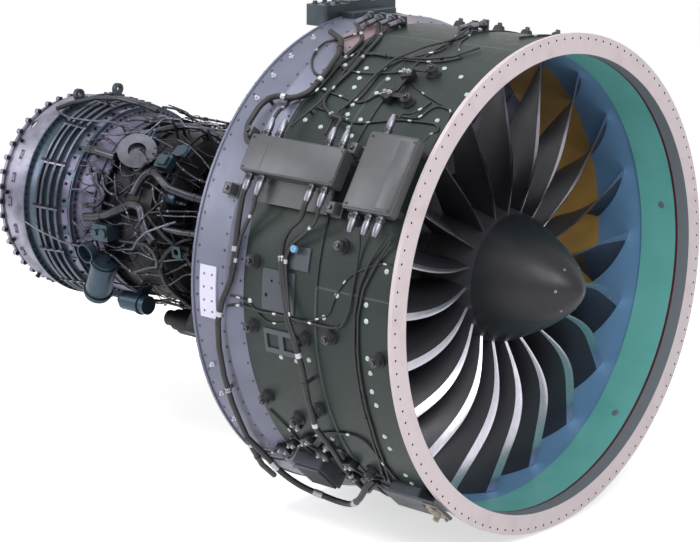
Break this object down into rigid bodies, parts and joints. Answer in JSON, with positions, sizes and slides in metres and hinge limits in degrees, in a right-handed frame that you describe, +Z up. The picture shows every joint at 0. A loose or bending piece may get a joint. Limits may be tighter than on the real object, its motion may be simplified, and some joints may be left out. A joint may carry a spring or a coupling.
{
  "type": "turbofan jet engine",
  "caption": "Bare geared turbofan: wide swept fan in a lined case, reduction gear, two-spool core, accessory gearbox, control boxes, pipes and harnesses.",
  "frame": {"origin": "centre of the front attach flange's front face, on the shaft axis", "axes": "+X aft along the shafts, +Y to the engine's right-hand side, +Z up"},
  "size_m": [3.358, 2.3425, 2.2748],
  "materials": {
    "flange_white": "pale primer paint",
    "case_green": "dark green composite under satin varnish",
    "seal_red": "dark red rubber",
    "liner_teal": "teal acoustic liner paint",
    "strip_blue": "blue abradable strip",
    "liner_ochre": "ochre acoustic liner",
    "frame_grey": "lavender grey paint",
    "vane_metal": "satin aluminium",
    "blade_dark": "satin dark blade coating",
    "edge_metal": "bright titanium edge",
    "spinner_black": "semi gloss black",
    "hub_metal": "titanium",
    "gear_steel": "ground gear steel",
    "shaft_steel": "turned steel",
    "core_grey": "heat-stained nickel alloy",
    "core_lavender": "lavender titanium",
    "core_green": "blue green heat tint",
    "tube_steel": "stainless tube",
    "wire_dark": "dark sleeved cable",
    "gearbox_cast": "cast aluminium",
    "unit_grey": "warm grey anodised box",
    "canister_blue": "blue grey paint",
    "isolator_black": "black rubber",
    "head_white": "white sealant caps",
    "mount_steel": "dark forged steel",
    "bracket_tan": "tan primed bracket",
    "bearing_steel": "polished bearing steel"
  },
  "bodies": {
    "root": {"inlet_flange": "flange_white", "fan_case_barrel": "case_green", "lip_seal": "seal_red", "front_liner": "liner_teal", "fan_rub_strip": "strip_blue", "aft_liner": "liner_ochre", "fan_frame_ring": "frame_grey", "exit_guide_vanes": "vane_metal", "fan_frame_hub": "frame_grey", "fan_bearing_support": "shaft_steel", "gear_carrier": "gear_steel", "booster_case": "core_lavender", "intermediate_case": "frame_grey", "compressor_case": "core_lavender", "diffuser_case": "core_grey", "combustor_liner": "core_grey", "fuel_nozzles": "tube_steel", "high_turbine_case": "core_grey", "turbine_frame": "core_lavender", "low_turbine_case": "core_green", "cooling_tubes": "tube_steel", "exhaust_case": "core_lavender", "stator_vanes": "vane_metal", "shaft_bearings": "bearing_steel", "accessory_gearbox": "gearbox_cast", "gearbox_units": "core_grey", "oil_tank": "unit_grey", "heat_exchanger": "canister_blue", "bleed_duct": "frame_grey", "core_pipes": "tube_steel", "small_tubes": "tube_steel", "control_unit": "unit_grey", "junction_box": "unit_grey", "connectors": "mount_steel", "isolators": "isolator_black", "fastener_heads": "head_white", "access_plates": "case_green", "heavy_harness": "wire_dark", "light_harness": "wire_dark", "engine_mounts": "mount_steel", "lower_bracket": "bracket_tan", "actuator_housing": "gearbox_cast"},
    "fan_rotor": {"fan_hub": "hub_metal", "fan_blades": "blade_dark", "blade_edges": "edge_metal", "spinner": "spinner_black", "spinner_tip": "spinner_black", "fan_drive_shaft": "gear_steel"},
    "star_1": {"star_gear_1": "gear_steel"},
    "star_2": {"star_gear_2": "gear_steel"},
    "star_3": {"star_gear_3": "gear_steel"},
    "star_4": {"star_gear_4": "gear_steel"},
    "star_5": {"star_gear_5": "gear_steel"},
    "low_rotor": {"low_spool": "shaft_steel", "sun_gear": "gear_steel"},
    "high_rotor": {"high_spool": "shaft_steel"},
    "tower_drive": {"tower_shaft": "shaft_steel"},
    "gearbox_drive": {"lay_shaft": "shaft_steel"},
    "vane_ring_set": {"vane_rings": "tube_steel"},
    "vane_rod": {"actuator_rod": "bearing_steel"}
  },
  "joints": [
    {"name": "fan_spin", "type": "hinge", "parent": "root", "child": "fan_rotor", "pos_m": [0.38, 0, 0], "axis": [1, 0, 0], "continuous": true},
    {"name": "star_1_spin", "type": "hinge", "parent": "root", "child": "star_1", "pos_m": [0.65, 0, 0.14], "axis": [1, 0, 0], "continuous": true},
    {"name": "star_2_spin", "type": "hinge", "parent": "root", "child": "star_2", "pos_m": [0.65, 0.13315, 0.04326], "axis": [1, 0, 0], "continuous": true},
    {"name": "star_3_spin", "type": "hinge", "parent": "root", "child": "star_3", "pos_m": [0.65, 0.08229, -0.11326], "axis": [1, 0, 0], "continuous": true},
    {"name": "star_4_spin", "type": "hinge", "parent": "root", "child": "star_4", "pos_m": [0.65, -0.08229, -0.11326], "axis": [1, 0, 0], "continuous": true},
    {"name": "star_5_spin", "type": "hinge", "parent": "root", "child": "star_5", "pos_m": [0.65, -0.13315, 0.04326], "axis": [1, 0, 0], "continuous": true},
    {"name": "low_spin", "type": "hinge", "parent": "root", "child": "low_rotor", "pos_m": [1.8, 0, 0], "axis": [1, 0, 0], "continuous": true},
    {"name": "high_spin", "type": "hinge", "parent": "root", "child": "high_rotor", "pos_m": [1.7, 0, 0], "axis": [1, 0, 0], "continuous": true},
    {"name": "tower_spin", "type": "hinge", "parent": "root", "child": "tower_drive", "pos_m": [1.19, 0, -0.3], "axis": [0, 0, 1], "continuous": true},
    {"name": "gearbox_spin", "type": "hinge", "parent": "root", "child": "gearbox_drive", "pos_m": [1.5, 0, -0.48], "axis": [1, 0, 0], "continuous": true},
    {"name": "vane_turn", "type": "hinge", "parent": "root", "child": "vane_ring_set", "pos_m": [1.482, 0, 0], "axis": [1, 0, 0], "range_deg": [-6, 6]},
    {"name": "vane_rod_slide", "type": "slide", "parent": "root", "child": "vane_rod", "axis": [0, 0, 1], "range_m": [-0.042, 0.042]}
  ],
  "couplings": [
    {"joint": "star_1_spin", "follows": "fan_spin", "ratio": 3},
    {"joint": "star_2_spin", "follows": "fan_spin", "ratio": 3},
    {"joint": "star_3_spin", "follows": "fan_spin", "ratio": 3},
    {"joint": "star_4_spin", "follows": "fan_spin", "ratio": 3},
    {"joint": "star_5_spin", "follows": "fan_spin", "ratio": 3},
    {"joint": "low_spin", "follows": "fan_spin", "ratio": -3},
    {"joint": "tower_spin", "follows": "high_spin", "ratio": 2},
    {"joint": "gearbox_spin", "follows": "high_spin", "ratio": 2},
    {"joint": "vane_rod_slide", "follows": "vane_turn", "m_per_rad": 0.3916}
  ]
}
